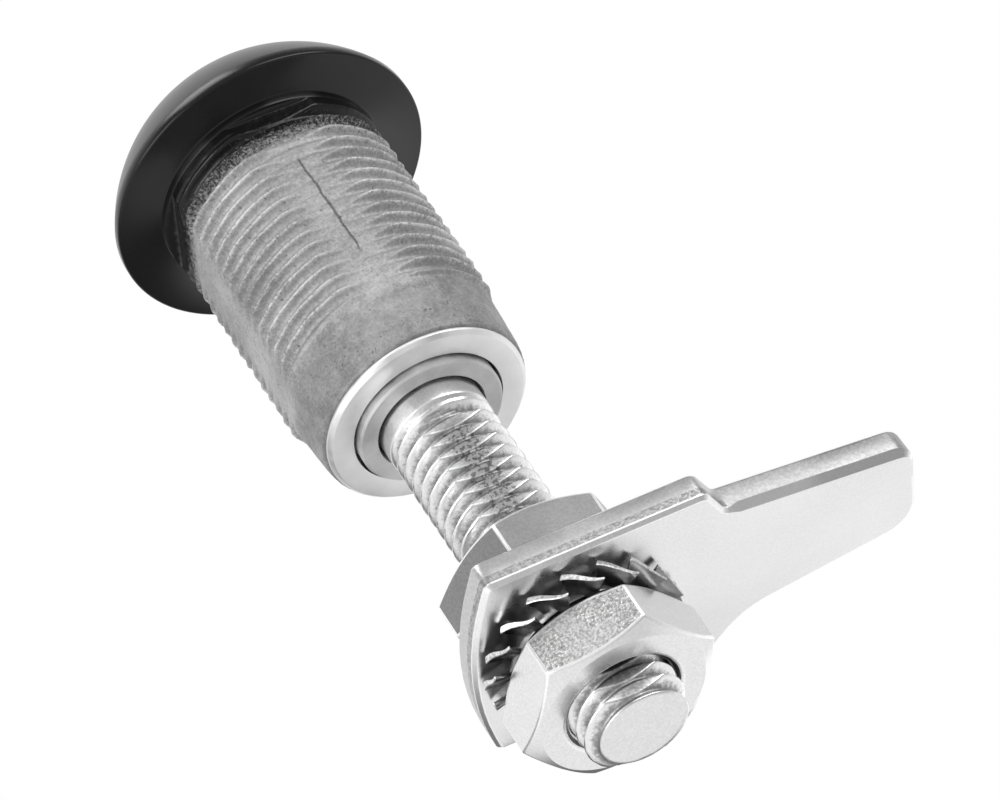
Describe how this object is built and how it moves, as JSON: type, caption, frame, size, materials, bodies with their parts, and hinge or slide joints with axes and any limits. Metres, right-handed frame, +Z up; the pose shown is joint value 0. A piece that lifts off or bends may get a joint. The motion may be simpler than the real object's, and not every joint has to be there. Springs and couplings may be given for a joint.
{
  "type": "quarter-turn lock",
  "caption": "Panel latch with a domed black head, a threaded die-cast barrel, and a double-flatted threaded stud that carries a stamped cam between jam nuts.",
  "frame": {"origin": "on the latch's axis, in the plane of the flange's seating face", "axes": "+Y along the axis from the head towards the stud's end, through the panel; +Z up; the cam's finger points along -X"},
  "size_m": [0.0473, 0.0792, 0.0302],
  "materials": {
    "housing": "satin black paint, on the head only",
    "bare_zinc": "bare die-cast zinc, the visual barrel's finish",
    "bright_steel": "turned, bright plated",
    "driver": "satin black die-cast zinc",
    "seal": "matt",
    "sleeve": "die-cast, dull grey",
    "stud": "bright zinc plating",
    "spring_steel": "drawn wire",
    "nuts": "bright zinc plating",
    "cam": "bright zinc plating on stamped plate, sheared edges dull",
    "washer": "bright zinc plating"
  },
  "bodies": {
    "housing": {"housing": "housing", "end_ring": "bright_steel"},
    "sleeve": {"sleeve": "sleeve"},
    "driver": {"driver": "driver", "driver_seal": "seal", "return_spring": "spring_steel"},
    "stud": {"stud": "stud", "cross_pin": "bright_steel", "back_nut": "nuts", "cam": "cam", "lock_washer": "washer", "front_nut": "nuts"}
  },
  "joints": [
    {"name": "quarter_turn", "type": "hinge", "parent": "housing", "child": "sleeve", "pos_m": [0, 0, 0], "axis": [0, 1, 0], "range_deg": [0, 90]},
    {"name": "tighten", "type": "hinge", "parent": "sleeve", "child": "driver", "pos_m": [0, 0, 0], "axis": [0, 1, 0], "range_deg": [0, 90]},
    {"name": "draw_in", "type": "slide", "parent": "sleeve", "child": "stud", "axis": [0, -1, 0], "range_m": [0, 0.005], "deforming": ["return_spring"]}
  ],
  "couplings": [
    {"joint": "tighten", "follows": "draw_in", "rad_per_m": 314.16}
  ]
}
